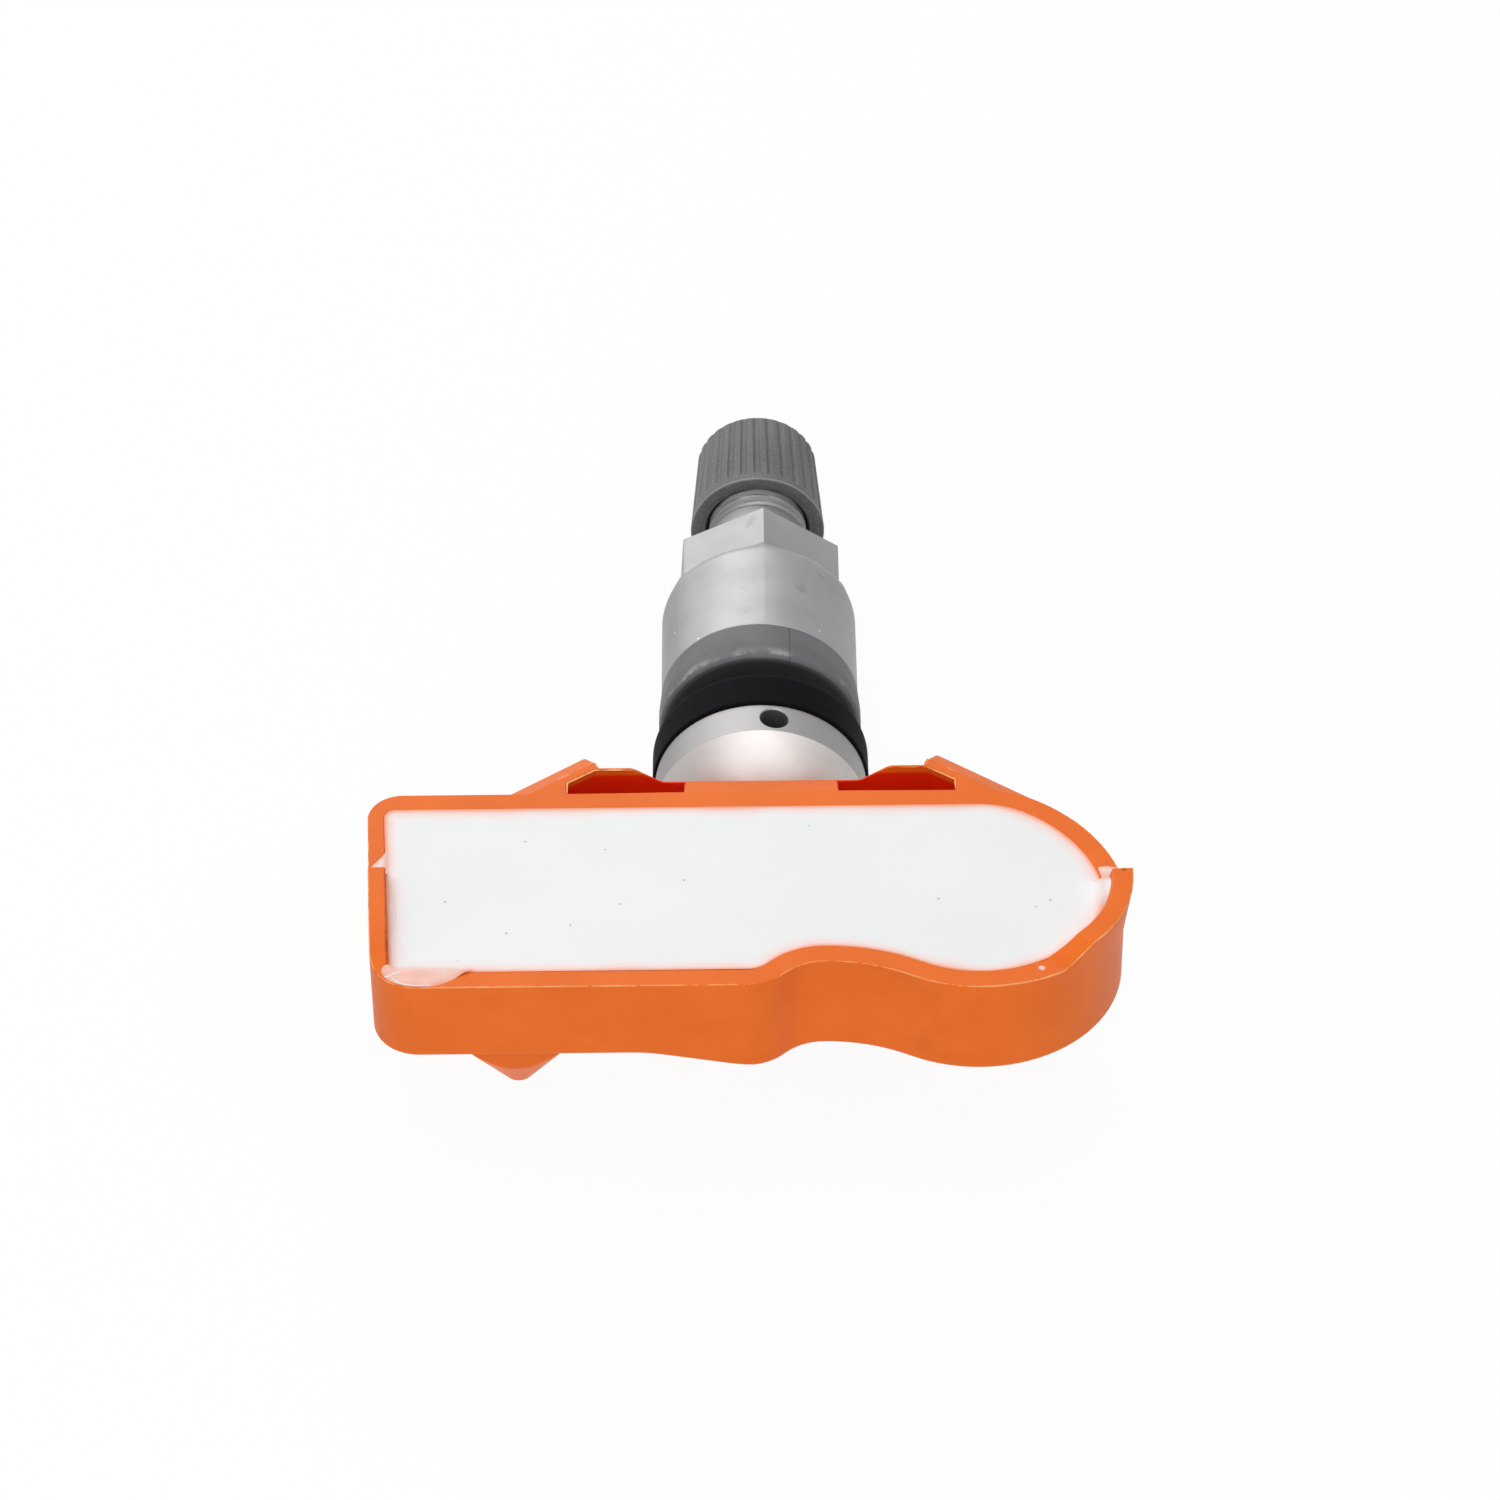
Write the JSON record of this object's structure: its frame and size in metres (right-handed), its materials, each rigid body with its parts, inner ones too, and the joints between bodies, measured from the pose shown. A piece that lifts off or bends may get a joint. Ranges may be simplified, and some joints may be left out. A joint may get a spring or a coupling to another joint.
{
  "type": "tyre pressure sensor",
  "caption": "Clamp-in tyre pressure sensor: a potted orange tray with a round end, held by a ball joint on a metal valve stem with a rim grommet, collar nut and ribbed dust cap.",
  "frame": {"origin": "on the valve axis at the grommet's face that seals on the inside of the rim", "axes": "+Y out along the valve stem towards the cap, +Z towards the potted face, +X along the tray towards its round end"},
  "size_m": [0.0537, 0.0737, 0.0207],
  "materials": {
    "housing_plastic": "satin",
    "potting_compound": "satin",
    "stem_alloy": "turned",
    "nut_alloy": "satin",
    "black_rubber": "satin",
    "grey_plastic": "matte",
    "cap_plastic": "matte",
    "screw_steel": "zinc plated",
    "seal_rubber": "matte",
    "core_brass": "turned",
    "pin_steel": "bright",
    "board_laminate": "satin",
    "chip_plastic": "matte",
    "cell_steel": "bright",
    "tab_steel": "bright",
    "coil_ferrite": "matte",
    "antenna_brass": "bright",
    "capacitor_ceramic": "satin"
  },
  "bodies": {
    "valve": {"valve_stem": "stem_alloy", "fixing_screw": "screw_steel", "grommet": "black_rubber", "core_plug": "core_brass", "core_barrel": "core_brass", "core_gasket": "seal_rubber", "core_spring": "pin_steel"},
    "sensor_housing": {"housing": "housing_plastic", "potting": "potting_compound", "circuit_board": "board_laminate", "pressure_chip": "chip_plastic", "port_seal": "seal_rubber", "coin_cell": "cell_steel", "cell_tab_upper": "tab_steel", "cell_tab_lower": "tab_steel", "lf_coil": "coil_ferrite", "crystal": "cell_steel", "antenna": "antenna_brass", "chip_capacitors": "capacitor_ceramic"},
    "ring": {"rim_ring": "grey_plastic"},
    "nut": {"collar_nut": "nut_alloy"},
    "cap_disc": {"cap_seal": "seal_rubber"},
    "cap": {"valve_cap": "cap_plastic"},
    "pin": {"core_pin": "pin_steel", "core_poppet": "core_brass"}
  },
  "joints": [
    {"name": "housing_tilt", "type": "hinge", "parent": "valve", "child": "sensor_housing", "pos_m": [0, -0.00303, 0], "axis": [1, 0, 0], "range_deg": [-10, 10]},
    {"name": "ring_travel", "type": "slide", "parent": "valve", "child": "ring", "axis": [0, 1, 0], "range_m": [0, 0.00476]},
    {"name": "nut_turn", "type": "hinge", "parent": "ring", "child": "nut", "pos_m": [0, 0.01, 0], "axis": [0, 1, 0], "range_deg": [0, 2165]},
    {"name": "cap_lift", "type": "slide", "parent": "valve", "child": "cap_disc", "axis": [0, 1, 0], "range_m": [0, 0.00794]},
    {"name": "cap_turn", "type": "hinge", "parent": "cap_disc", "child": "cap", "pos_m": [0, 0.03, 0], "axis": [0, 1, 0], "range_deg": [0, 3605]},
    {"name": "pin_press", "type": "slide", "parent": "valve", "child": "pin", "axis": [0, -1, 0], "range_m": [0, 0.0012], "stiffness_N_per_m": 800, "springref_m": -0.002, "deforming": ["core_spring"]}
  ],
  "couplings": [
    {"joint": "nut_turn", "follows": "ring_travel", "rad_per_m": 7915.8},
    {"joint": "cap_turn", "follows": "cap_lift", "rad_per_m": 7915.8}
  ]
}
